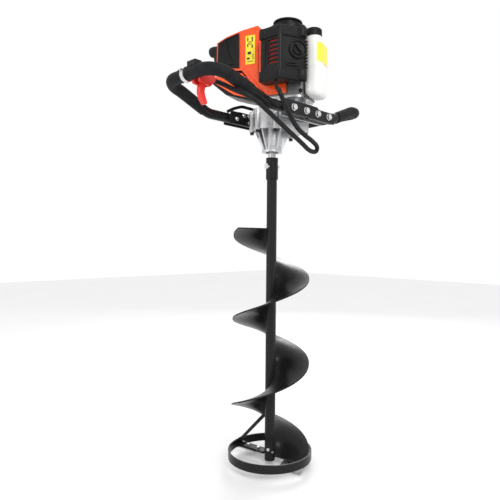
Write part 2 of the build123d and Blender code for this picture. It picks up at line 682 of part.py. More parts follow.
with BuildPart() as throttle_plate:
    add(round_part(engine, crank_mid - 6, crank_mid + 24, 2.5, 0, (port_u, -50)))
    add(slab(engine, crank_mid + 20, crank_mid + 22.5, (port_u - 3.5, -50), 13, 6, 2))
    add(slab(side, 49.4, 50.6, (port_u, crank_mid), 13, 13, 6))
write(throttle_plate, "throttle_plate")

with BuildPart() as choke_lever:
    add(round_part(end, port_u + 10.5, port_u + 24, 2.5, 0, (-50, crank_mid + 12)))
    add(slab(end, port_u + 21, port_u + 24, (-48, crank_mid + 12), 16, 8, 3))
write(choke_lever, "choke_lever")

cover_low, cover_high, cover_wall = 915.0, 1040.0, 3.0
cover_plan = [(-33, -65.2), (-33, -101), (24.5, -115), (78, -62), (70, -58), (44, -65.2)]
inner_plan = [(-30, -60), (-30, -98.6), (23.6, -111.7), (73.5, -62.2), (69, -60.5), (44, -62), (40, -60)]
with BuildPart() as air_cleaner_base:
    add(slab(side, 62, 65, (8, 978), 76, 118, 8))
    add(round_part(side, 61, 66, 6, 0, (port_u, crank_mid)), mode=Mode.SUBTRACT)
write(air_cleaner_base, "air_cleaner_base")

with BuildPart() as air_filter:
    add(slab(side, 67, 90, (4, 984), 60, 74, 8))
    add(slab(side, 66, 76, (4, 984), 44, 58, 4), mode=Mode.SUBTRACT)
write(air_filter, "air_filter")

knob_point = engine_point(59.4, -80.4, 990)
knob_out = Vector(*u_dir) * 0.7038 - Vector(*w_dir) * 0.7104
knob_plane = Plane(origin=knob_point, x_dir=(0, 0, 1), z_dir=knob_out)
with BuildPart() as air_cleaner_cover:
    with BuildSketch(engine.offset(cover_low)):
        with BuildLine():
            Polyline(*cover_plan, close=True)
        make_face()
    extrude(amount=cover_high - cover_low)
    fillet(air_cleaner_cover.edges().filter_by(Axis.Z).group_by(SortBy.LENGTH)[-1], 4)
    with BuildSketch(engine.offset(cover_low + cover_wall)):
        with BuildLine():
            Polyline(*inner_plan, close=True)
        make_face()
    extrude(amount=cover_high - cover_low - 2 * cover_wall, mode=Mode.SUBTRACT)
    add(round_part(knob_plane, -12, 12, 3.1), mode=Mode.SUBTRACT)
    add(round_part(engine, cover_low - 1, cover_low + 4, 3.2, 0, (11, -100)), mode=Mode.SUBTRACT)
    for row in range(6):
        louver_z = 962 + 10 * row
        add(slab(side, 95, 125, (5, louver_z), 26, 4), mode=Mode.SUBTRACT)
write(air_cleaner_cover, "air_cleaner_cover")

with BuildPart() as cover_knob:
    add(round_part(knob_plane, 1.2, 5, 14))
    add(slab(knob_plane, 5, 12, (0, 0), 24, 6, 2.5))
    add(round_part(knob_plane, -14, 1.2, 3.0))
write(cover_knob, "cover_knob")

with BuildPart() as muffler:
    add(slab(side, -104, -58, (-92, crank_mid), 74, 66, 10))
    add(slab(side, -58.1, -42.2, (-92, crank_mid), 34, 34, 4))
    add(slab(side, -101, -61, (-92, crank_mid), 68, 60, 8), mode=Mode.SUBTRACT)
    add(round_part(side, -110, -100, 6, 0, (-116, crank_mid - 20)), mode=Mode.SUBTRACT)
write(muffler, "muffler")

with BuildPart() as muffler_guard:
    add(slab(side, -112, -60, (-92, crank_mid), 88, 80, 12))
    add(slab(side, -109, -59, (-92, crank_mid), 82, 74, 10), mode=Mode.SUBTRACT)
    for row in range(5):
        add(slab(side, -115, -106, (-92, crank_mid - 24 + 12 * row), 56, 5, 2), mode=Mode.SUBTRACT)
write(muffler_guard, "muffler_guard")

# ================================================================ handle frame
shoulder_x, grip_y = 226.0, 82.0                # where the loop levels out, half its width there


def handle_path(reach_sign, inner_x, near_knee, far_knee):
    """The centre line of one loop: out from the plates, up, across and back."""
    legs = []
    for y_sign, knee_x, rise in ((-1, near_knee, grip_z - 5), (1, far_knee, grip_z - 12)):
        legs.append([
            (inner_x, y_sign * tube_y, handle_z),
            (reach_sign * knee_x, y_sign * tube_y, handle_z),
            (reach_sign * shoulder_x, y_sign * grip_y, rise),
            (reach_sign * handle_reach, y_sign * grip_y, grip_z),
        ])
    return legs[0] + legs[1][::-1]


def loop_part(points, outer, inner):
    """A bent tube along the loop's centre line."""
    with BuildPart() as loop:
        with BuildLine() as route:
            FilletPolyline(*points, radius=[60, 30, 36, 36, 30, 60])
        start = Plane(origin=route.line @ 0, z_dir=route.line % 0)
        with BuildSketch(start):
            Circle(outer)
            Circle(inner, mode=Mode.SUBTRACT)
        sweep(path=route.line)
    return loop.part


bolt_hole_r = 4.2
loops = ((-1, 21.0, (105.0, 136.0)), (1, 36.0, (124.0, 130.0)))     # side, inner end, near and far knee
for label, (sign, inner_x, knees) in zip(("left_handle_tube", "right_handle_tube"), loops):
    with BuildPart() as handle_tube:
        add(loop_part(handle_path(sign, inner_x, *knees), handle_tube_r, handle_tube_r - 1.6))
        with BuildSketch(Plane.XZ.offset(-150)):
            with Locations(*[(x, handle_z) for x in plate_bolt_x]):
                Circle(bolt_hole_r)
        extrude(amount=300, mode=Mode.SUBTRACT)
    write(handle_tube, label)


foam_ends = (-157.0, 151.0)
with BuildPart() as foam_grips:
    for (sign, inner_x, knees), foam_end in zip(loops, foam_ends):
        sleeve = loop_part(handle_path(sign, inner_x, *knees), grip_r, handle_tube_r)
        with BuildPart() as sleeve_cut:
            add(sleeve)
            split(bisect_by=Plane.YZ.offset(foam_end), keep=Keep.BOTTOM if sign < 0 else Keep.TOP)
        add(sleeve_cut.part)
write(foam_grips, "foam_grips")

plate_thickness = 4.0
plate_inner = tube_y + handle_tube_r
plate_outline = [(-72, 834), (-72, 863), (-56, 866), (50, 866), (58, 861), (118, 861), (118, 834)]
with BuildPart() as handle_plates:
    for low in (plate_inner, -plate_inner - plate_thickness):
        add(prism(Plane.XZ, low, low + plate_thickness, plate_outline))
    with BuildSketch(Plane.XZ.offset(-150)):
        with Locations(*[(x, handle_z) for x in plate_bolt_x]):
            Circle(bolt_hole_r)
    extrude(amount=300, mode=Mode.SUBTRACT)
write(handle_plates, "handle_plates")

bolt_length = plate_thickness + 2 * handle_tube_r + 5.0
bolt_face = plate_inner + plate_thickness
with BuildPart() as plate_bolts:
    near_face = Plane(origin=(0, -bolt_face, 0), x_dir=(1, 0, 0), z_dir=(0, -1, 0))
    far_face = Plane(origin=(0, bolt_face, 0), x_dir=(-1, 0, 0), z_dir=(0, 1, 0))
    for face, mirror_sign in ((near_face, 1), (far_face, -1)):
        spots = [(mirror_sign * x, handle_z) for x in plate_bolt_x]
        with BuildSketch(face):
            with Locations(*spots):
                Circle(8.5)
        extrude(amount=1.8)
        add(hex_bolts(face.offset(1.8), spots, 5.2, 13.0, 4.0, bolt_length + 1.8))
write(plate_bolts, "plate_bolts")

brace_r = 4.0
brace_points = [
    (-74, tube_y, handle_z + handle_tube_r + brace_r + 0.02), (-56, 84, 876), (-34, 78, 884), (-6, 70, 881),
    (14, 65, 876), (14, 65, arm_high + 0.02),
]
with BuildPart() as brace_rod:
    with BuildLine() as brace_line:
        FilletPolyline(*brace_points, radius=[20, 30, 14, 5])
    with BuildSketch(Plane(origin=brace_line.line @ 0, z_dir=brace_line.line % 0)):
        Circle(brace_r)
    sweep(path=brace_line.line)
write(brace_rod, "brace_rod")

# ---------------------------------------------------------------- controls on the left loop
cross_x = -handle_reach
cross = Plane(origin=(cross_x, 0, grip_z), x_dir=(1, 0, 0), z_dir=(0, -1, 0))  # looks along the cross tube
trigger_y, slot_y, lever_y = (8.0, 36.0), (14.5, 29.5), (16.0, 28.0)   # distances towards the near side
pivot = (26, -15)
pivot_r = 2.45
with BuildPart() as trigger_housing:
    add(prism(cross, *trigger_y, [(4, -12), (12, -2), (28, 3), (46, 1), (48, -12), (34, -27), (18, -23), (6, -21)]))
    add(round_part(cross, trigger_y[0] - 1, trigger_y[1] + 1, grip_r + 0.02), mode=Mode.SUBTRACT)
    add(slab(cross, *slot_y, (20, -23), 32, 28), mode=Mode.SUBTRACT)
    add(round_part(cross, slot_y[0] - 4, slot_y[1] + 4, pivot_r, 0, pivot))
write(trigger_housing, "trigger_housing")

lever_outline = [(31, -12), (31, -21), (26, -28), (24.5, -39), (28, -51), (32.5, -60), (31, -65), (26, -66),
                 (17.5, -56), (12, -43), (12, -31), (17, -19), (22, -12)]
with BuildPart() as trigger_lever:
    add(prism(cross, *lever_y, lever_outline))
    add(round_part(cross, lever_y[0] - 1, lever_y[1] + 1, pivot_r + 0.08, 0, pivot), mode=Mode.SUBTRACT)
write(trigger_lever, "trigger_lever")

clamp_y = (-9.0, 2.0)
with BuildPart() as grip_clamp:
    add(round_part(cross, *clamp_y, grip_r + 2.2, grip_r + 0.02))
    add(slab(cross, *clamp_y, (-18.0, 6), 8, 3))
    add(round_part(cross, clamp_y[0] - 1, clamp_y[1] + 1, grip_r + 0.02), mode=Mode.SUBTRACT)
write(grip_clamp, "grip_clamp")

switch_low = grip_r - 3.0
with BuildPart() as stop_switch:
    add(slab(cross, 9, 35, (0, switch_low + 6.5), 20, 13, 2))
    add(round_part(cross, 8, 36, grip_r + 0.02), mode=Mode.SUBTRACT)
    add(slab(cross, 18, 26, (0, switch_low + 10.5), 10.2, 8), mode=Mode.SUBTRACT)
write(stop_switch, "stop_switch")

with BuildPart() as switch_slider:
    add(slab(cross, 18.1, 22.5, (0, switch_low + 11.6), 10, 9, 1.5))
write(switch_slider, "switch_slider")

# throttle cable in its ribbed loom: straight runs joined by arcs
cable_r = 5.6
cable_points = [
    (cross_x + 48.02, -22, grip_z - 6), (-199, -22, 890), (-201, -50, 876), (-200, -83, 858),
    (-190, -106, 847), (-168, -116, 835), (-136, -119, 818), (-100, -120, 799), (-58, -119, 780),
    (-19, -116, 765), (13, -112, 751), (41, -110, 752), (42, -114, 766), (11, -121, 775),
    (-25, -125, 784), (-56, -128, 798), (-82, -129, 825), (-101, -128, 853), (-108, -122, 875),
    (-80, -97, 884), (-63.8, -71.8, 893), (-63.8, -71.8, cover_low - 0.02),
]


def run(a, b):
    return Vector(*b) - Vector(*a)


cable_radii = []
for before, corner, after in zip(cable_points, cable_points[1:], cable_points[2:]):
    arriving, leaving = run(before, corner), run(corner, after)
    half_turn = radians(arriving.get_angle(leaving)) / 2
    cable_radii.append(0.45 * min(arriving.length, leaving.length) / tan(half_turn))
with BuildPart() as throttle_cable:
    with BuildLine() as cable_line:
        FilletPolyline(*cable_points, radius=cable_radii)
    with BuildSketch(Plane(origin=cable_line.line @ 0, z_dir=cable_line.line % 0)):
        Circle(cable_r)
    sweep(path=cable_line.line)
write(throttle_cable, "throttle_cable")
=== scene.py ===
"""Looks for the petrol ice auger: materials, detailed covers, cable loom, light and camera."""

import json
import math

import bmesh
import bpy
from mathutils import Matrix, Vector

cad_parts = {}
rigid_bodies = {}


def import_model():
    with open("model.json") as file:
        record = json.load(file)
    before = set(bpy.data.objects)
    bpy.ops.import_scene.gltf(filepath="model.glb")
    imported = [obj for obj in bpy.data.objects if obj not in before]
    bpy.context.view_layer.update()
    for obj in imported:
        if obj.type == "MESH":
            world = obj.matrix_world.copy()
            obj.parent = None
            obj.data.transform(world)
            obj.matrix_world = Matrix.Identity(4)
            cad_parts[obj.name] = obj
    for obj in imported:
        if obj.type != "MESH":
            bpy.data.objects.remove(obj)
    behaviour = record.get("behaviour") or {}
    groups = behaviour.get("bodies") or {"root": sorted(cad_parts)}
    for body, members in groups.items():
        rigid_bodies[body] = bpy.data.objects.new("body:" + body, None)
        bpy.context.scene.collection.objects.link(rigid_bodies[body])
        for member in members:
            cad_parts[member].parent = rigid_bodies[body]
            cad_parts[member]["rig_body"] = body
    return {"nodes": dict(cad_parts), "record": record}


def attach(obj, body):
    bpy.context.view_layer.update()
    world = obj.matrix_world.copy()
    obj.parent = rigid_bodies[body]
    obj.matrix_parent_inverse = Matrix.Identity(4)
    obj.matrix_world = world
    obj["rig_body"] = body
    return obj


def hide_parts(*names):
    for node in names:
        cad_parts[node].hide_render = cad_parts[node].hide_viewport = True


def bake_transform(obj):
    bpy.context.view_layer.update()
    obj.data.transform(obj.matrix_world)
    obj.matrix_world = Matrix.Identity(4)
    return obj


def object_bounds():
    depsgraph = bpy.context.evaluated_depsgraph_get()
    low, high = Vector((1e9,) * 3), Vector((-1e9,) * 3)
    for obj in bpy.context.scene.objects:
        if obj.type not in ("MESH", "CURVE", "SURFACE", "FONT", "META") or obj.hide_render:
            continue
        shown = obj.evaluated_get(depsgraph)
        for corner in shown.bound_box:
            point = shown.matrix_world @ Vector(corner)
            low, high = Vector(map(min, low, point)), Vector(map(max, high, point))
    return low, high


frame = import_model()
cad_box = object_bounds()
record = frame["record"]
nodes = frame["nodes"]
node_slots = {entry["node"]: entry["material_slot"] for entry in record["subparts"]}
joints = {joint["name"]: joint for joint in record["behaviour"]["joints"]}
MM = 0.001

# ---------------------------------------------------------------- engine directions
crank = Vector(joints["crank_spin"]["pos_m"]) / MM
along = Vector(joints["starter_pull"]["axis"])            # from the cylinder towards the tank
across = Vector((-along.y, along.x, 0.0))                 # away from the carburettor side
up = Vector((0.0, 0.0, 1.0))


def at(u, w, z):
    """A point given in millimetres in the engine's own directions, as a place in metres."""
    return (Vector((crank.x, crank.y, 0)) + along * u + across * w + up * z) * MM


def engine_frame(origin, x_dir, y_dir):
    """A matrix in metres whose axes are x_dir, y_dir and their cross product."""
    x_axis, y_axis = x_dir.normalized(), y_dir.normalized()
    z_axis = x_axis.cross(y_axis)
    turn = Matrix((x_axis, y_axis, z_axis)).transposed().to_4x4()
    return Matrix.Translation(origin) @ turn


side_frame = engine_frame(at(0, 0, 0), along, up)          # its z looks out of the carburettor side
plan_frame = engine_frame(at(0, 0, 0), along, across)      # its z is up

# ---------------------------------------------------------------- camera
CAMERA_DISTANCE, CAMERA_HEIGHT = 1.290, 0.533
CAMERA_AZIMUTH, CAMERA_PITCH, CAMERA_ROLL = math.radians(46), 0.065, 0.008
SENSOR_WIDTH, LENS = 36.0, 37.0
SHIFT_X, SHIFT_Y = -0.0434, -0.0832


def make_camera():
    camera = bpy.data.objects.new("camera", bpy.data.cameras.new("camera"))
    bpy.context.scene.collection.objects.link(camera)
    camera.data.sensor_width = SENSOR_WIDTH
    camera.data.lens = LENS
    camera.data.shift_x = SHIFT_X
    camera.data.shift_y = SHIFT_Y
    place = Vector((-math.sin(CAMERA_AZIMUTH), -math.cos(CAMERA_AZIMUTH), 0)) * CAMERA_DISTANCE
    place.z = CAMERA_HEIGHT
    heading = Matrix.Rotation(-CAMERA_AZIMUTH, 4, "Z")
    pitch = Matrix.Rotation(math.pi / 2 + CAMERA_PITCH, 4, "X")
    roll = Matrix.Rotation(CAMERA_ROLL, 4, "Z")
    camera.matrix_world = Matrix.Translation(place) @ heading @ pitch @ roll
    bpy.context.scene.camera = camera


# ---------------------------------------------------------------- materials
def new_material(name):
    material = bpy.data.materials.new(name)
    material.use_nodes = True
    tree = material.node_tree
    return material, tree, tree.nodes["Principled BSDF"]


def add_node(tree, kind, **values):
    node = tree.nodes.new(kind)
    for key, value in values.items():
        if key in node.inputs.keys():
            node.inputs[key].default_value = value
        else:
            setattr(node, key, value)
    return node


def noise(tree, coordinates, scale, detail=4.0):
    texture = add_node(tree, "ShaderNodeTexNoise", Scale=scale, Detail=detail)
    tree.links.new(coordinates, texture.inputs["Vector"])
    return texture.outputs["Fac"]


def remap(tree, value, low, high, start=0.3, finish=0.7):
    node = add_node(tree, "ShaderNodeMapRange")
    for key, number in (("From Min", start), ("From Max", finish), ("To Min", low), ("To Max", high)):
        node.inputs[key].default_value = number
    tree.links.new(value, node.inputs["Value"])
    return node.outputs["Result"]


def mix_colour(tree, factor, first, second):
    node = add_node(tree, "ShaderNodeMix", data_type="RGBA")
    for socket, value in ((node.inputs[6], first), (node.inputs[7], second)):
        if isinstance(value, tuple):
            socket.default_value = (*value, 1.0)
        else:
            tree.links.new(value, socket)
    if isinstance(factor, float):
        node.inputs[0].default_value = factor
    else:
        tree.links.new(factor, node.inputs[0])
    return node.outputs[2]


def add_bump(tree, shader, height, depth, strength=1.0, under=None):
    bump = add_node(tree, "ShaderNodeBump", Strength=strength, Distance=depth)
    tree.links.new(height, bump.inputs["Height"])
    if under is not None:
        tree.links.new(under, bump.inputs["Normal"])
    tree.links.new(bump.outputs["Normal"], shader.inputs["Normal"])
    return bump.outputs["Normal"]


def surface(name, colour, variant, roughness, metallic=0.0, grain=900.0, depth=0.00008, cloud=18.0,
            edge_wear_and_highlight=None, coat=0.0, specular=0.5):
    """A grained surface: cloudy colour, uneven gloss, fine bump, and sharp edges lightened partly as wear and
    partly as painted highlight.
    """
    material, tree, shader = new_material(name)
    coordinates = add_node(tree, "ShaderNodeTexCoord").outputs["Object"]
    clouds = noise(tree, coordinates, cloud, 6.0)
    fine = noise(tree, coordinates, grain, 2.0)
    tone = mix_colour(tree, remap(tree, clouds, 0.0, 1.0), colour, variant)
    if edge_wear_and_highlight:
        # painted highlight and wear: the sharpest convex edges take the lighter edge colour
        edge = add_node(tree, "ShaderNodeNewGeometry").outputs["Pointiness"]
        tone = mix_colour(tree, remap(tree, edge, 0.0, 0.7, 0.53, 0.62), tone, edge_wear_and_highlight)
    tree.links.new(tone, shader.inputs["Base Color"])
    smears = noise(tree, coordinates, cloud * 4, 8.0)
    tree.links.new(remap(tree, smears, roughness * 0.85, roughness * 1.15), shader.inputs["Roughness"])
    shader.inputs["Metallic"].default_value = metallic
    shader.inputs["Coat Weight"].default_value = coat
    shader.inputs["Coat Roughness"].default_value = 0.12
    shader.inputs["Specular IOR Level"].default_value = specular
    add_bump(tree, shader, fine, depth)
    return material


def tank_material():
    """Natural polyethylene: milky, soft and slightly see-through."""
    material, tree, shader = new_material("tank_plastic")
    coordinates = add_node(tree, "ShaderNodeTexCoord").outputs["Object"]
    clouds = remap(tree, noise(tree, coordinates, 14, 5), 0, 1)
    tone = mix_colour(tree, clouds, (0.70, 0.70, 0.68), (0.78, 0.78, 0.765))
    tree.links.new(tone, shader.inputs["Base Color"])
    shader.inputs["Roughness"].default_value = 0.42
    shader.inputs["Subsurface Weight"].default_value = 0.35
    shader.inputs["Subsurface Radius"].default_value = (0.012, 0.012, 0.011)
    shader.inputs["Subsurface Scale"].default_value = 1.0
    add_bump(tree, shader, noise(tree, coordinates, 260, 3), 0.0002)
    return material


def foam_material():
    """Closed-cell foam rubber: dull, pitted, with a faint lengthways skin."""
    material, tree, shader = new_material("foam")
    coordinates = add_node(tree, "ShaderNodeTexCoord").outputs["Object"]
    cells = add_node(tree, "ShaderNodeTexVoronoi", Scale=1300.0)
    tree.links.new(coordinates, cells.inputs["Vector"])
    tone = mix_colour(tree, remap(tree, noise(tree, coordinates, 60, 6), 0, 1), (0.007, 0.0075, 0.0085),
                      (0.014, 0.0145, 0.016))
    shader.inputs["Specular IOR Level"].default_value = 0.12
    tree.links.new(tone, shader.inputs["Base Color"])
    tree.links.new(remap(tree, noise(tree, coordinates, 240, 4), 0.5, 0.68), shader.inputs["Roughness"])
    first = add_bump(tree, shader, cells.outputs["Distance"], 0.00025, 0.8)
    add_bump(tree, shader, noise(tree, coordinates, 130, 5), 0.0005, 0.5, under=first)
    return material


def cast_material(name, colour, variant, roughness):
    """Die-cast aluminium: soft grain, flow marks and darker hollows."""
    material, tree, shader = new_material(name)
    coordinates = add_node(tree, "ShaderNodeTexCoord").outputs["Object"]
    tone = mix_colour(tree, remap(tree, noise(tree, coordinates, 28, 7), 0, 1), colour, variant)
    edge = add_node(tree, "ShaderNodeNewGeometry").outputs["Pointiness"]
    dark = tuple(c * 0.5 for c in colour)
    tone = mix_colour(tree, remap(tree, edge, 0.8, 0.0, 0.42, 0.5), tone, dark)
    tree.links.new(tone, shader.inputs["Base Color"])
    shader.inputs["Metallic"].default_value = 0.9
    tree.links.new(remap(tree, noise(tree, coordinates, 90, 5), roughness - 0.08, roughness + 0.1),
                   shader.inputs["Roughness"])
    first = add_bump(tree, shader, noise(tree, coordinates, 700, 3), 0.00018, 0.9)
    add_bump(tree, shader, noise(tree, coordinates, 60, 3), 0.0006, 0.4, under=first)
    return material


def brushed_material(name, colour, roughness, stretch=(40, 40, 900)):
    """Machined or rolled metal with drawn-out brush marks."""
    material, tree, shader = new_material(name)
    coordinates = add_node(tree, "ShaderNodeTexCoord").outputs["Object"]
    mapping = add_node(tree, "ShaderNodeMapping")
    mapping.inputs["Scale"].default_value = stretch
    tree.links.new(coordinates, mapping.inputs["Vector"])
    lines = noise(tree, mapping.outputs["Vector"], 1.0, 5)
    pale = tuple(min(1.0, c * 1.15) for c in colour)
    tree.links.new(mix_colour(tree, remap(tree, lines, 0, 1), colour, pale), shader.inputs["Base Color"])
    tree.links.new(remap(tree, lines, roughness * 0.7, roughness * 1.3), shader.inputs["Roughness"])
    shader.inputs["Metallic"].default_value = 1.0
    add_bump(tree, shader, lines, 0.00006)
    return material


MATERIALS = {
    "black_paint": surface("black_paint", (0.005, 0.005, 0.0055), (0.01, 0.01, 0.0105), 0.27, grain=1400,
                           depth=0.00005, edge_wear_and_highlight=(0.016, 0.016, 0.017), coat=0.02, specular=0.13),
    "cast_aluminium": cast_material("cast_aluminium", (0.46, 0.47, 0.48), (0.60, 0.60, 0.61), 0.32),
    "grey_casting": cast_material("grey_casting", (0.19, 0.195, 0.20), (0.25, 0.255, 0.26), 0.42),
    "orange_plastic": surface("orange_plastic", (0.84, 0.072, 0.008), (0.90, 0.095, 0.012), 0.26, grain=500,
                              depth=0.00004, edge_wear_and_highlight=(0.93, 0.14, 0.03), coat=0.15, specular=0.3),
    "black_plastic": surface("black_plastic", (0.007, 0.007, 0.0075), (0.012, 0.012, 0.0125), 0.33,
                             grain=1500, depth=0.00012, edge_wear_and_highlight=(0.02, 0.02, 0.021), specular=0.14),
    "red_plastic": surface("red_plastic", (0.62, 0.014, 0.01), (0.70, 0.022, 0.015), 0.3, grain=600,
                           depth=0.00005, edge_wear_and_highlight=(0.75, 0.05, 0.04), coat=0.1, specular=0.35),
    "tank_plastic": tank_material(),
    "foam": foam_material(),
    "cable_loom": surface("cable_loom", (0.007, 0.007, 0.0075), (0.012, 0.012, 0.013), 0.38, grain=800,
                          depth=0.00008, specular=0.22),
    "steel": brushed_material("steel", (0.42, 0.42, 0.43), 0.3),
    "zinc": brushed_material("zinc", (0.66, 0.66, 0.65), 0.2, (260, 260, 260)),
    "black_screw": surface("black_screw", (0.01, 0.01, 0.01), (0.02, 0.02, 0.02), 0.35, metallic=0.6),
    "blade_steel": brushed_material("blade_steel", (0.48, 0.49, 0.5), 0.24, (900, 60, 60)),
    "rubber": surface("rubber", (0.008, 0.008, 0.008), (0.014, 0.014, 0.014), 0.48, grain=900, depth=0.0001,
                      specular=0.2),
    "filter_foam": surface("filter_foam", (0.30, 0.01, 0.008), (0.42, 0.02, 0.014), 0.75, grain=700,
                           depth=0.0006),
    "heat_metal": brushed_material("heat_metal", (0.62, 0.44, 0.42), 0.36, (60, 60, 500)),
    "yellow_label": surface("yellow_label", (0.86, 0.66, 0.02), (0.9, 0.72, 0.04), 0.3, depth=0.00002),
    "cream_block": surface("cream_block", (0.62, 0.52, 0.34), (0.7, 0.6, 0.42), 0.5, depth=0.00006),
    "black_ink": surface("black_ink", (0.01, 0.01, 0.01), (0.02, 0.02, 0.02), 0.35, depth=0.00002),
}


def dress_cad_nodes():
    """Give every carried-over CAD node the procedural material of its slot."""
    for name, obj in nodes.items():
        for holder in obj.material_slots:
            holder.material = MATERIALS[node_slots[name]]


# ---------------------------------------------------------------- mesh helpers
def finish_piece(name, bm, material, body, replaces=(), smooth=40):
    """Turn a bmesh into a named piece with its material, body and replaced CAD nodes."""
    bmesh.ops.recalc_face_normals(bm, faces=bm.faces)
    mesh = bpy.data.meshes.new(name)
    bm.to_mesh(mesh)
    bm.free()
    obj = bpy.data.objects.new(name, mesh)
    bpy.context.scene.collection.objects.link(obj)
    mesh.materials.append(MATERIALS[material])
    mesh.shade_smooth()
    mesh.set_sharp_from_angle(angle=math.radians(smooth))
    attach(obj, body)
    if replaces:
        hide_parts(*replaces)
    return obj


def bevel_sharp(bm, width, segments=3, angle=25):
    """Round every edge that is sharper than an angle."""
    sharp = [e for e in bm.edges if len(e.link_faces) == 2 and e.calc_face_angle(0) > math.radians(angle)]
    bmesh.ops.bevel(bm, geom=sharp, offset=width * MM, segments=segments, profile=0.6, affect="EDGES",
                    clamp_overlap=True)


def prism(outline, low, high, place, bevel=0.0, segments=3, taper=1.0):
    """A block with a polygon outline in millimetres, raised along its place's z."""
    bm = bmesh.new()
    middle = Vector((sum(p[0] for p in outline), sum(p[1] for p in outline))) / len(outline)
    lower = [bm.verts.new((x * MM, y * MM, low * MM)) for x, y in outline]
    upper = []
    for x, y in outline:
        point = middle + (Vector((x, y)) - middle) * taper
        upper.append(bm.verts.new((point.x * MM, point.y * MM, high * MM)))
    count = len(outline)
    bm.faces.new(list(reversed(lower)))
    bm.faces.new(upper)
    for i in range(count):
        bm.faces.new((lower[i], lower[(i + 1) % count], upper[(i + 1) % count], upper[i]))
    bmesh.ops.recalc_face_normals(bm, faces=bm.faces)
    if bevel:
        bevel_sharp(bm, bevel, segments)
    bm.transform(place)
    return bm


def block(centre, size, low, high, place, bevel=0.0, segments=3, taper=1.0):
    """A rectangular block standing on its place's plane."""
    x, y = centre
    half_x, half_y = size[0] / 2, size[1] / 2
    outline = [(x + sx * half_x, y + sy * half_y) for sx, sy in ((-1, -1), (1, -1), (1, 1), (-1, 1))]
    return prism(outline, low, high, place, bevel, segments, taper)


def lathe(profile, place, steps=56):
    """A turned form: profile is (radius, height) pairs in millimetres, closed where the radius is 0."""
    bm = bmesh.new()
    rings = []
    for radius, height in profile:
        if radius <= 0:
            rings.append([bm.verts.new((0, 0, height * MM))])
            continue
        ring = []
        for i in range(steps):
            a = 2 * math.pi * i / steps
            ring.append(bm.verts.new((radius * math.cos(a) * MM, radius * math.sin(a) * MM, height * MM)))
        rings.append(ring)
    for first, second in zip(rings, rings[1:]):
        for i in range(steps):
            j = (i + 1) % steps
            corners = [ring[k % len(ring)] for ring, k in ((first, i), (first, j), (second, j), (second, i))]
            unique = list(dict.fromkeys(corners))
            if len(unique) > 2:
                bm.faces.new(unique)
    bm.transform(place)
    return bm


def merged(*parts):
    """One bmesh out of several."""
    whole = bmesh.new()
    for part in parts:
        mesh = bpy.data.meshes.new("part")
        part.to_mesh(mesh)
        part.free()
        whole.from_mesh(mesh)
        bpy.data.meshes.remove(mesh)
    return whole


def cut(bm, *tools):
    """Take tool forms away from a form."""
    temporary = []
    for form in (bm, *tools):
        mesh = bpy.data.meshes.new("cut")
        bmesh.ops.recalc_face_normals(form, faces=form.faces)
        form.to_mesh(mesh)
        form.free()
        obj = bpy.data.objects.new("cut", mesh)
        bpy.context.scene.collection.objects.link(obj)
        temporary.append(obj)
    target = temporary[0]
    for tool in temporary[1:]:
        modifier = target.modifiers.new("cut", "BOOLEAN")
        modifier.operation = "DIFFERENCE"
        modifier.solver = "EXACT"
        modifier.object = tool
    graph = bpy.context.evaluated_depsgraph_get()
    result = bmesh.new()
    mesh = bpy.data.meshes.new_from_object(target.evaluated_get(graph))
    result.from_mesh(mesh)
    for obj in temporary:
        old = obj.data
        bpy.data.objects.remove(obj)
        bpy.data.meshes.remove(old)
    bpy.data.meshes.remove(mesh)
    return result


def shifted(place, u=0.0, v=0.0, n=0.0):
    """A place moved by millimetres along its own axes."""
    return place @ Matrix.Translation(Vector((u, v, n)) * MM)


def socket_screw(place, radius=4.0, height=3.5):
    """Round head with a hexagon socket, standing on a place."""
    head = lathe([(0, 0), (radius, 0), (radius, height - 0.8), (radius - 0.8, height),
                  (radius * 0.55, height)], place, 28)
    recess = lathe([(radius * 0.55, height), (radius * 0.5, height - 1.6), (0, height - 1.6)], place, 6)
    return merged(head, recess)


def tube(points, radii, steps=20):
    """A tube along points in metres with a radius in millimetres at each point."""
    bm = bmesh.new()
    rings, normal = [], None
    for i, point in enumerate(points):
        ahead = points[min(i + 1, len(points) - 1)] - points[max(i - 1, 0)]
        ahead.normalize()
        if normal is None:
            normal = ahead.orthogonal().normalized()
        normal = (normal - ahead * normal.dot(ahead)).normalized()
        side = ahead.cross(normal)
        ring = []
        for k in range(steps):
            a = 2 * math.pi * k / steps
            ring.append(bm.verts.new(point + (normal * math.cos(a) + side * math.sin(a)) * radii[i] * MM))
        rings.append(ring)
    for first, second in zip(rings, rings[1:]):
        for k in range(steps):
            bm.faces.new((first[k], first[(k + 1) % steps], second[(k + 1) % steps], second[k]))
    bm.faces.new(list(reversed(rings[0])))
    bm.faces.new(rings[-1])
    return bm


# ---------------------------------------------------------------- throttle cable in its ribbed loom
CABLE_ROUTE = (
    (-217.98, -22, 890), (-199, -22, 890), (-201, -50, 876), (-200, -83, 858), (-190, -106, 847),
    (-168, -116, 835), (-136, -119, 818), (-100, -120, 799), (-58, -119, 780), (-19, -116, 765),
    (13, -112, 751), (41, -110, 752), (42, -114, 766), (11, -121, 775), (-25, -125, 784),
    (-56, -128, 798), (-82, -129, 825), (-101, -128, 853), (-108, -122, 875), (-80, -97, 884),
    (-63.8, -71.8, 893), (-63.8, -71.8, 914.98),
)
LOOM_RADIUS, LOOM_VALLEY, SLEEVE_RADIUS, LOOM_PITCH = 5.6, 4.9, 3.2, 3.4
LOOM_SHARE = 0.885                                          # the rest is bare cable in a thin sleeve
LOOM_STEP, LOOM_STEP_METRES = 0.52, 0.00052                 # between two rings of the drawn tube


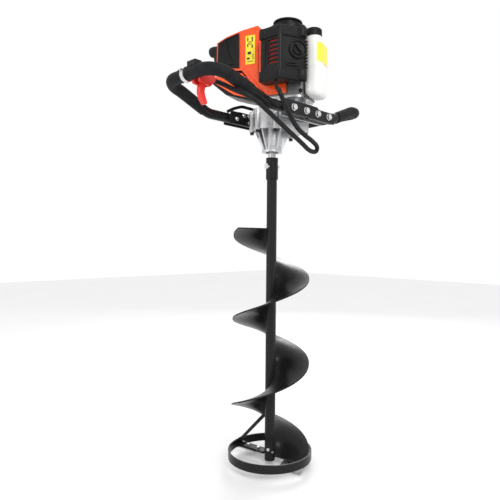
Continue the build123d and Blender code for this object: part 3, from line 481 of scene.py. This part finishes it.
def spline_points(route, spacing):
    """Points at an even spacing along the NURBS line that has the route as its control points."""
    curve = bpy.data.curves.new("route", "CURVE")
    curve.dimensions = "3D"
    curve.resolution_u = 64
    line = curve.splines.new("NURBS")
    line.points.add(len(route) - 1)
    for point, place in zip(line.points, route):
        point.co = (*(Vector(place) * MM), 1.0)
    line.order_u = 3
    line.use_endpoint_u = True
    obj = bpy.data.objects.new("route", curve)
    bpy.context.scene.collection.objects.link(obj)
    graph = bpy.context.evaluated_depsgraph_get()
    mesh = bpy.data.meshes.new_from_object(obj.evaluated_get(graph))
    raw = [vertex.co.copy() for vertex in mesh.vertices]
    bpy.data.meshes.remove(mesh)
    bpy.data.objects.remove(obj)
    bpy.data.curves.remove(curve)
    points, carried = [raw[0]], 0.0
    for a, b in zip(raw, raw[1:]):
        length = (b - a).length
        while length > 0 and carried + length >= spacing:
            a = a.lerp(b, (spacing - carried) / length)
            points.append(a)
            length, carried = (b - a).length, 0.0
        carried += length
    if (points[-1] - raw[-1]).length > spacing * 0.3:
        points.append(raw[-1])
    return points


def make_cable():
    points = spline_points(CABLE_ROUTE, LOOM_STEP_METRES)
    last = len(points) * LOOM_SHARE
    radii = []
    for i in range(len(points)):
        phase = (i * LOOM_STEP % LOOM_PITCH) / LOOM_PITCH
        if i < last:
            radii.append(LOOM_RADIUS if phase < 0.55 else LOOM_VALLEY)
        else:
            radii.append(SLEEVE_RADIUS)
    loom = finish_piece("throttle_loom", tube(points, radii), "cable_loom", "powerhead", ["throttle_cable"],
                        smooth=30)


# ---------------------------------------------------------------- air cleaner cover and its knob
COVER_PLAN = [(-33, -65.3), (-33, -99), (24.5, -114.5), (77, -62), (70, -58.2), (44, -65.3)]
COVER_LOW, COVER_HIGH = 915, 1046
KNOB_ALONG, KNOB_Z = 48.8, 990                             # from the cover's sharp corner, and its height
KNOB_TURN = math.radians(-52)                              # how far the knob's bar leans at rest
LOUVRES, LOUVRE_LOW, LOUVRE_STEP = 6, 958, 10.5
COMB_RIBS, COMB_LOW, COMB_STEP = 9, 948, 8
FACE_CORNER, FACE_LEFT, FACE_RIGHT = Vector((24.5, -114.5)), Vector((-33, -99)), Vector((77, -62))


def cover_face_frame(start, end):
    """A place on one upright face of the cover: x along it, y up, z outward, origin at its start."""
    run = (end - start).normalized()
    x_dir = along * run.x + across * run.y
    return engine_frame(at(start.x, start.y, 0), x_dir, up)


def grown(outline, step):
    """A polygon pushed outward by a distance, given anticlockwise or clockwise."""
    area = sum(a[0] * b[1] - b[0] * a[1] for a, b in zip(outline, outline[1:] + outline[:1]))
    sign = 1 if area > 0 else -1
    result = []
    count = len(outline)
    for i in range(count):
        before, here, after = (Vector(outline[(i + k) % count]) for k in (-1, 0, 1))
        a, b = (here - before).normalized(), (after - here).normalized()
        normal_a, normal_b = Vector((a.y, -a.x)) * sign, Vector((b.y, -b.x)) * sign
        bisector = (normal_a + normal_b).normalized()
        result.append(tuple(here + bisector * step / max(0.35, bisector.dot(normal_a))))
    return result


def make_air_cleaner():
    """The cover: a recessed middle with louvres between two rounded bands, lobes at the fixing bosses."""
    body = prism(grown(COVER_PLAN, -3.0), COVER_LOW + 14, COVER_HIGH - 14, plan_frame, 2.5)
    top = prism(COVER_PLAN, COVER_HIGH - 27, COVER_HIGH, plan_frame, 10.0, 6, 0.96)
    bottom = prism(COVER_PLAN, COVER_LOW, COVER_LOW + 25, plan_frame, 9.0, 6, 1.0)
    left = cover_face_frame(FACE_LEFT, FACE_CORNER)
    right = cover_face_frame(FACE_CORNER, FACE_RIGHT)
    left_length, right_length = (FACE_CORNER - FACE_LEFT).length, (FACE_RIGHT - FACE_CORNER).length
    slots = []
    for row in range(LOUVRES):
        z = LOUVRE_LOW + row * LOUVRE_STEP
        slots.append(block((left_length - 21, z), (30, 5.2), -8.5, 3, left, 1.2, 2))
        slots.append(lathe([(0, -9), (3.6, -9), (3.6, 3), (0, 3)], shifted(left, left_length - 6.5, z), 20))
    body = cut(body, *slots)
    pieces = [body, top, bottom]
    # lobed corners over the fixing bosses and the stiffening bars between the bands
    lobes = ((-28, -74, COVER_LOW + 2, COVER_LOW + 27, 11), (-28, -74, COVER_HIGH - 26, COVER_HIGH - 2, 11),
             (-25, -92, COVER_LOW + 1, COVER_LOW + 26, 12), (-25, -92, COVER_HIGH - 26, COVER_HIGH - 1, 12),
             (64, -68, COVER_LOW + 1, COVER_LOW + 28, 13), (64, -68, COVER_HIGH - 24, COVER_HIGH - 1, 12))
    for u, w, low, high, radius in lobes:
        place = Matrix.Translation(at(u, w, low))
        height = high - low
        pieces.append(lathe([(0, 0), (radius - 4, 0), (radius - 1, 1), (radius, 4), (radius, height - 4),
                             (radius - 1, height - 1), (radius - 4, height), (0, height)], place, 40))
    for w in (-74, -88):
        place = Matrix.Translation(at(-30.5, w, COVER_LOW + 22))
        pieces.append(lathe([(0, 0), (4, 0), (4, 82), (0, 82)], place, 20))
    # rounded vertical corner and raised panel lines on the two faces
    place = Matrix.Translation(at(FACE_CORNER.x, FACE_CORNER.y + 6.5, COVER_LOW + 20))
    pieces.append(lathe([(0, 0), (6, 0), (6, 88), (0, 88)], place, 32))
    for offset in (8, 17):
        pieces.append(block((offset, 977), (1.6, 76), -4, -1.2, right, 0.5, 2))
    for row in range(COMB_RIBS):
        centre = (right_length - 3, COMB_LOW + row * COMB_STEP)
        pieces.append(block(centre, (7, 3.4), -6, 1.4, right, 1.0, 2))
    for z, width in ((950, 30), (956, 22), (1024, 30)):
        pieces.append(block((34, z), (width, 2.4), -5, 1.0, right, 0.8, 2))
    pieces.append(block((left_length / 2 - 14, 985), (1.6, 70), -4, -1.4, left, 0.5, 2))
    ring_centre = shifted(right, KNOB_ALONG, KNOB_Z)
    rim = [(19.0, -4), (22.2, -4), (22.2, 2.6), (21.4, 3.6), (19.8, 3.6), (19.0, 2.6), (19.0, -4)]
    pieces.append(lathe(rim, ring_centre, 56))
    pieces.append(lathe([(0, -4), (19.5, -4), (19.5, -0.6), (0, -0.6)], ring_centre, 48))
    finish_piece("air_cleaner_shell", merged(*pieces), "black_plastic", "powerhead",
                 ["air_cleaner_cover"])
    foam = block((left_length - 21, 984), (33, 64), -9.5, -6.6, left, 0.8, 2)
    finish_piece("louvre_foam", foam, "filter_foam", "powerhead")


def make_cover_knob():
    right = cover_face_frame(FACE_CORNER, FACE_RIGHT)
    centre = shifted(right, KNOB_ALONG, KNOB_Z)
    tilt = centre @ Matrix.Rotation(KNOB_TURN, 4, "Z")
    disc = lathe([(0, -0.5), (13.6, -0.5), (13.6, 3.2), (12.6, 4.4), (9, 4.0), (0, 4.0)], centre, 48)
    bar = block((0, 0), (27.5, 6.4), 0, 10.5, tilt, 2.4, 4, 0.94)
    grip_ends = [lathe([(0, 0), (3.6, 0), (3.6, 9.5), (2.6, 10.6), (0, 10.6)], shifted(tilt, x), 24)
                 for x in (-11, 11)]
    finish_piece("knob_body", merged(disc, bar, *grip_ends), "black_plastic", "cover_screw", ["cover_knob"])


# ---------------------------------------------------------------- fuel tank and cap
def rounded_ring(centre, half, radius, z, steps=12):
    """Points of a rounded rectangle in the engine's plan at one height."""
    points = []
    for quarter, (sx, sy) in enumerate(((1, 1), (-1, 1), (-1, -1), (1, -1))):
        corner_x, corner_y = centre[0] + sx * (half[0] - radius), centre[1] + sy * (half[1] - radius)
        for i in range(steps + 1):
            a = math.pi / 2 * (quarter + i / steps)
            points.append(at(corner_x + radius * math.cos(a), corner_y + radius * math.sin(a), z))
    return points


def loft(rings):
    """A closed body through rings that have the same number of points."""
    bm = bmesh.new()
    made = [[bm.verts.new(point) for point in ring] for ring in rings]
    count = len(made[0])
    for first, second in zip(made, made[1:]):
        for i in range(count):
            j = (i + 1) % count
            bm.faces.new((first[i], first[j], second[j], second[i]))
    bm.faces.new(list(reversed(made[0])))
    bm.faces.new(made[-1])
    return bm


TANK_CENTRE, TANK_HALF, TANK_LOW, TANK_HIGH = (83.5, -17), (21.5, 35), 886, 1036
TANK_CORNER, TANK_FOOT, TANK_SHOULDER = 17, 15, 27         # roundings: upright corners, bottom edge, top
TANK_TOP_HALF = 16.0                                       # where the shoulder meets the neck
NECK = (80, -27)


def make_tank():
    """The blow-moulded tank: rounded foot, a parting line half way up and a shoulder drawn in to the neck."""
    rings = []
    for i in range(9):
        a = math.pi / 2 * i / 8
        inset = TANK_FOOT * (1 - math.sin(a))
        z = TANK_LOW + TANK_FOOT * (1 - math.cos(a))
        half = (TANK_HALF[0] - inset, TANK_HALF[1] - inset)
        rings.append(rounded_ring(TANK_CENTRE, half, max(2.5, TANK_CORNER - inset), z))
    for z in (930, 958.5, 959.5, 961.5, 962.5, 990):
        swell = 0.7 if 959 < z < 962 else 0.0
        half = (TANK_HALF[0] + swell, TANK_HALF[1] + swell)
        rings.append(rounded_ring(TANK_CENTRE, half, TANK_CORNER + swell, z))
    for i in range(11):
        a = math.pi / 2 * i / 10
        share = 1 - math.cos(a)
        z = TANK_HIGH - TANK_SHOULDER + TANK_SHOULDER * math.sin(a)
        centre = [TANK_CENTRE[k] + (NECK[k] - TANK_CENTRE[k]) * share * 0.9 for k in (0, 1)]
        half = [TANK_HALF[k] + (TANK_TOP_HALF - TANK_HALF[k]) * share for k in (0, 1)]
        rings.append(rounded_ring(centre, half, min(min(half), TANK_CORNER - 1.5 * share), z))
    rings.append(rounded_ring(NECK, (15, 15), 15, TANK_HIGH + 1))
    rings.append(rounded_ring(NECK, (15, 15), 15, TANK_HIGH + 8))
    finish_piece("tank_shell", loft(rings), "tank_plastic", "powerhead", ["fuel_tank"], smooth=50)


def make_tank_label():
    """A plain yellow sheet wrapped round the tank's end, just clear of its surface."""
    bm = bmesh.new()
    rows = []
    for z in (967, 977, 987, 997, 1007, 1014):
        fraction = max(0, z - (TANK_HIGH - TANK_SHOULDER)) / TANK_SHOULDER
        shrink = 1 - math.sqrt(1 - fraction * fraction)
        centre_u = TANK_CENTRE[0] + (NECK[0] - TANK_CENTRE[0]) * shrink * 0.9
        centre_w = TANK_CENTRE[1] + (NECK[1] - TANK_CENTRE[1]) * shrink * 0.9
        half_u, half_w = (half + (TANK_TOP_HALF - half) * shrink for half in TANK_HALF)
        row = []
        for side, angles in ((-1, range(-64, 1, 8)), (1, range(0, 49, 8))):
            for degrees in angles:
                a = math.radians(degrees)
                u = centre_u + half_u - TANK_CORNER + (TANK_CORNER + 0.35) * math.cos(a)
                w = centre_w + side * (half_w - TANK_CORNER) + (TANK_CORNER + 0.35) * math.sin(a)
                row.append(bm.verts.new(at(u, w, z)))
        rows.append(row)
    for a, b in zip(rows, rows[1:]):
        for i in range(len(a) - 1):
            bm.faces.new((a[i], a[i + 1], b[i + 1], b[i]))
    finish_piece("tank_label", bm, "yellow_label", "powerhead", smooth=60)


def make_fuel_cap():
    place = Matrix.Translation(at(*NECK, 1037))
    core = lathe([(0, 0), (18.4, 0), (18.4, 15.5), (17.4, 17.6), (15, 18.6), (12, 18.2), (0, 18.2)],
                 place, 64)
    ribs = []
    for i in range(26):
        turn = place @ Matrix.Rotation(2 * math.pi * i / 26, 4, "Z")
        ribs.append(block((18.6, 0), (3.4, 2.4), 0.8, 15.6, turn, 0.8, 2))
    skirt = lathe([(18, 0), (20.4, 0), (20.4, 1.6), (18, 2.4), (18, 0)], place, 64)
    finish_piece("fuel_cap_body", merged(core, skirt, *ribs), "black_plastic", "tank_cap", ["fuel_cap"])


# ---------------------------------------------------------------- labels and small details on the cowl
COWL_SIDE, PANEL_SIDE, DUCT_SIDE, CASING_SIDE = 54, 58, 52, 49      # outer faces, from the engine's middle


def make_labels():
    side = shifted(side_frame, 0, 0, COWL_SIDE)
    plate = block((-80.5, 1018.5), (26.5, 74.5), -0.3, 0.35, side, 0.15, 1)
    finish_piece("cowl_label", plate, "yellow_label", "powerhead")
    bars = ((-87.5, 1046, 3, 11), (-87.5, 1030, 3.4, 8), (-75, 1045, 3.6, 13), (-75, 1027, 3.6, 9),
            (-83, 1010, 10, 7), (-72.5, 1000, 2, 14), (-86, 996, 8, 5), (-81, 988, 17, 1.6))
    marks = [block((x, z), (width, height), 0.2, 0.55, side, 0.1, 1) for x, z, width, height in bars]
    marks.append(lathe([(2.6, 0.2), (4.4, 0.2), (4.4, 0.55), (2.6, 0.55), (2.6, 0.2)],
                       shifted(side, -81.5, 1036), 28))
    finish_piece("cowl_label_marks", merged(*marks), "black_ink", "powerhead")


# ---------------------------------------------------------------- rounded covers in place of sharp CAD ones
def rounded_copy(node, width):
    """The CAD piece with its sharp edges rounded, standing for it."""
    source = nodes[node]
    bm = bmesh.new()
    bm.from_mesh(source.data)
    bmesh.ops.remove_doubles(bm, verts=bm.verts, dist=0.000004)
    bmesh.ops.dissolve_limit(bm, angle_limit=math.radians(1.0), verts=bm.verts, edges=bm.edges)
    bevel_sharp(bm, width, angle=24)
    finish_piece(node + "_skin", bm, node_slots[node], "powerhead", [node], smooth=38)


def make_cowl():
    """Rounded copies of the engine's covers, and the folds, ribs and hole pressed into them."""
    for node, width in (("engine_cowl", 2.2), ("cowl_side_panel", 1.6), ("lower_cowl", 1.3),
                        ("head_shield", 0.9), ("recoil_housing", 1.5), ("recoil_cap", 1.2)):
        rounded_copy(node, width)
    near = shifted(side_frame, 0, 0, COWL_SIDE)
    fold = prism([(-70, 950), (-47, 945), (-25, 941), (2, 937), (15, 930), (15, 904), (-18, 899), (-42, 905),
                  (-60, 928)], -1, 4.0, near, 3.4, 4, 0.93)
    crease = prism([(-104, 972), (-98, 973), (-40, 903), (-44, 898)], -1, 2.0, near, 1.4, 3)
    ridge = prism([(-64, 1074), (-58, 1074), (-57, 955), (-63, 955)], -1, 1.8, near, 1.3, 3)
    finish_piece("cowl_folds", merged(fold, crease, ridge), "orange_plastic", "powerhead")
    panel = shifted(side_frame, 0, 0, PANEL_SIDE)
    bulge = prism([(-172, 1001), (-171, 1043), (-150, 1053), (-145, 1040), (-141, 1020), (-134, 1003),
                   (-121, 984), (-150, 984)], -1, 3.2, panel, 2.2, 4, 0.96)
    lip = prism([(-172, 1046), (-150, 1056), (-113, 1064.5), (-113, 1061), (-150, 1052.6), (-171, 1043)],
                -3, 1.6, panel, 0.8, 2)
    screw = socket_screw(shifted(panel, -160, 1042, 2.4), 3.6, 2.6)
    finish_piece("side_panel_bulge", merged(bulge, lip, screw), "black_plastic", "powerhead")
    hole = lathe([(2.4, -0.4), (4.6, -0.4), (4.6, 0.5), (3.8, 0.9), (2.4, 0.3), (0, -0.2)],
                 shifted(side_frame, -139, 926, DUCT_SIDE), 28)
    finish_piece("duct_hole", hole, "filter_foam", "powerhead")
    # painted shadow: a black band laid over the cowl where the throttle loom and its cast shadow show dark
    band = prism([(-190, 956), (-189, 942), (-150, 910), (-116, 899), (-64, 885), (-60, 889), (-128, 906),
                  (-183, 944), (-186, 958)], -14, 53.5, side_frame, 1.4, 3)
    finish_piece("loom_shadow_band", band, "black_plastic", "powerhead")
    insulator = block((-168, 968), (22, 11), 30, 46, side_frame, 1.2, 2)
    finish_piece("head_gasket_block", insulator, "cream_block", "powerhead")


def make_plug_boot():
    """The spark plug's boot: an elbow off the plug, a ribbed cap and the start of the ignition lead."""
    place = engine_frame(at(-231, 0, 1050), across, up)
    body = lathe([(0, 0), (7, 0.4), (11.5, 2.5), (14, 6.5), (14.5, 12), (14.5, 30), (13, 34), (9, 36),
                  (0, 36)], place, 48)
    ribs = [lathe([(13, z), (15.2, z + 0.4), (15.2, z + 2.2), (13, z + 2.6), (13, z)], place, 48)
            for z in (13, 19, 25)]
    elbow = ((-186, 1016, 10.5), (-192, 1016, 11.5), (-199, 1019, 12), (-204, 1026, 12), (-206, 1036, 12),
             (-206, 1046, 12))
    neck = tube([at(u, 0, z) for u, z, _ in elbow], [radius for _, _, radius in elbow], 32)
    wire = ((-214, 8, 1058), (-212, 16, 1064), (-204, 24, 1066), (-192, 32, 1060), (-182, 38, 1048))
    lead = tube([at(*point) for point in wire], [3.2] * len(wire), 16)
    finish_piece("plug_boot_elbow", merged(body, neck, lead, *ribs), "rubber", "powerhead", ["plug_boot"])


def make_engine_screws():
    """Socket screws and bosses of the casing, and the rings on the recoil cap."""
    near = shifted(side_frame, 0, 0, CASING_SIDE)
    screws = [socket_screw(shifted(near, x, z), 5.0, 4.5) for x, z in ((18.6, 921), (55, 899), (-40, 899))]
    tops = [socket_screw(Matrix.Translation(at(u, w, 1062)), 4.0, 3.6)
            for u, w in ((52, 30), (52, -30), (-38, 30))]
    cap = Matrix.Translation(at(0, 0, 1096))
    rings = [lathe([(r, -0.6), (r + 2.2, -0.6), (r + 2.0, 0.9), (r + 0.2, 0.9), (r, -0.6)], cap, 64)
             for r in (10, 17, 24)]
    finish_piece("engine_screws", merged(*screws, *tops), "black_screw", "powerhead")
    finish_piece("recoil_cap_rings", merged(*rings), "black_plastic", "powerhead")
    boss = [lathe([(0, -0.5), (7.5, -0.5), (7.0, 1.6), (0, 1.6)], shifted(near, x, z), 36)
            for x, z in ((18.6, 921), (-40, 899))]
    ribs = [block((x, 919), (2.2, 44), -0.5, 1.8, near, 0.7, 2) for x in (-10, -2, 6)]
    finish_piece("fan_housing_bosses", merged(*boss, *ribs), "grey_casting", "powerhead")


def make_clamp_plate():
    """The inner black clamp plate of the far handle side, with the nuts of its bolts."""
    inside = Matrix.Translation((0, 0.0715, 0)) @ Matrix.Rotation(math.pi / 2, 4, "X")
    plate = prism([(-86, 836), (-78, 864), (-8, 864), (-8, 832), (-80, 831)], -0.4, 3.4, inside, 0.8, 2)
    finish_piece("inner_clamp_plate", plate, "black_paint", "powerhead")
    nuts = []
    for x, z in ((-38, 857), (-62, 845), (-20, 842), (-20, 858)):
        nuts.append(lathe([(0, 3), (5.6, 3), (5.6, 7.4), (4.6, 8.2), (0, 8.2)], shifted(inside, x, z), 6))
        nuts.append(lathe([(0, 3), (2.8, 3), (2.8, 10.6), (0, 11.2)], shifted(inside, x, z), 20))
    finish_piece("inner_clamp_nuts", merged(*nuts), "zinc", "powerhead")


def make_bit_details():
    """The stay's upright web and the small bolts of the bit."""
    arm = math.radians(96)
    # x runs outwards along the arm, y up and z sideways
    place = Matrix(((math.cos(arm), 0, math.sin(arm), 0), (math.sin(arm), 0, -math.cos(arm), 0),
                    (0, 1, 0, 0), (0, 0, 0, 1)))
    web = prism([(12.6, 106), (12.6, 118), (98.4, 31), (98.4, 21)], -2, 2, place, 0.6, 2)
    gusset = prism([(96, 28), (98.4, 34), (98.4, 14), (78, 22.4), (80, 26)], -4.5, 4.5, place, 0.6, 2)
    finish_piece("stay_web", merged(web, gusset), "black_paint", "bit")
    bolts = []
    for azimuth, z, radius in ((-153, 32, 4.2), (-105, 26, 3.2), (27, 32, 4.2)):
        turn = Matrix.Rotation(math.radians(azimuth), 4, "Z")
        seat = turn @ Matrix.Translation((0.0124, 0, z * MM)) @ Matrix.Rotation(math.pi / 2, 4, "Y")
        bolts.append(lathe([(0, 0), (radius, 0), (radius, 2.4), (radius - 0.7, 3.2), (0, 3.2)], seat, 6))
    for x in (36, 68):
        seat = place @ Matrix.Translation((x * MM, 22.4 * MM, 0)) @ Matrix.Rotation(-math.pi / 2, 4, "X")
        bolts.append(lathe([(0, 0), (4.4, 0), (4.4, 2.6), (3.7, 3.4), (0, 3.4)], seat, 6))
    finish_piece("bit_bolts", merged(*bolts), "zinc", "bit")


def make_rope():
    """A short run of starter rope, baked in place and tied to no body."""
    start, end = at(45, 20, 1068.5), at(60, 20, 1068.5)
    line = [start.lerp(end, i / 24) for i in range(25)]
    rope = finish_piece("starter_rope", tube(line, [1.9] * 25, 16), "rubber", "powerhead")
    rope.parent = None
    del rope["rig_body"]
    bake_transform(rope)


# ---------------------------------------------------------------- light and floor
def make_stage():
    bm = bmesh.new()
    bmesh.ops.create_grid(bm, x_segments=1, y_segments=1, size=6.0)
    mesh = bpy.data.meshes.new("floor")
    bm.to_mesh(mesh)
    bm.free()
    floor = bpy.data.objects.new("floor", mesh)
    floor.location.z = cad_box[0][2] - 0.0004
    bpy.context.scene.collection.objects.link(floor)
    material, tree, shader = new_material("floor")
    coordinates = add_node(tree, "ShaderNodeTexCoord").outputs["Object"]
    clouds = remap(tree, noise(tree, coordinates, 3, 3), 0, 1)
    tone = mix_colour(tree, clouds, (0.86, 0.86, 0.86), (0.88, 0.88, 0.88))
    tree.links.new(tone, shader.inputs["Base Color"])
    shader.inputs["Roughness"].default_value = 0.6
    mesh.materials.append(material)


def make_lights():
    world = bpy.data.worlds.new("studio")
    bpy.context.scene.world = world
    world.use_nodes = True
    background = world.node_tree.nodes["Background"]
    background.inputs["Color"].default_value = (1.0, 1.0, 1.0, 1.0)
    background.inputs["Strength"].default_value = 1.0
    target = Vector((0, 0, 0.85))
    for name, offset, size, power in (("key", (-0.9, -2.0, 1.9), 1.0, 24), ("fill", (-2.1, 0.5, 0.7), 1.6, 8),
                                      ("rim", (1.9, 1.3, 1.6), 1.0, 18), ("low", (0.9, -1.9, 0.1), 0.6, 4)):
        data = bpy.data.lights.new(name, "AREA")
        data.shape = "SQUARE"
        data.size = size
        data.energy = power
        light = bpy.data.objects.new(name, data)
        light.location = Vector(offset)
        light.rotation_euler = (target - light.location).to_track_quat("-Z", "Y").to_euler()
        bpy.context.scene.collection.objects.link(light)


bpy.context.scene.view_settings.view_transform = "Standard"
make_camera()
make_cable()
dress_cad_nodes()
make_air_cleaner()
make_cover_knob()
make_tank()
make_tank_label()
make_fuel_cap()
make_labels()
make_cowl()
make_plug_boot()
make_engine_screws()
make_clamp_plate()
make_rope()
make_bit_details()
make_stage()
make_lights()
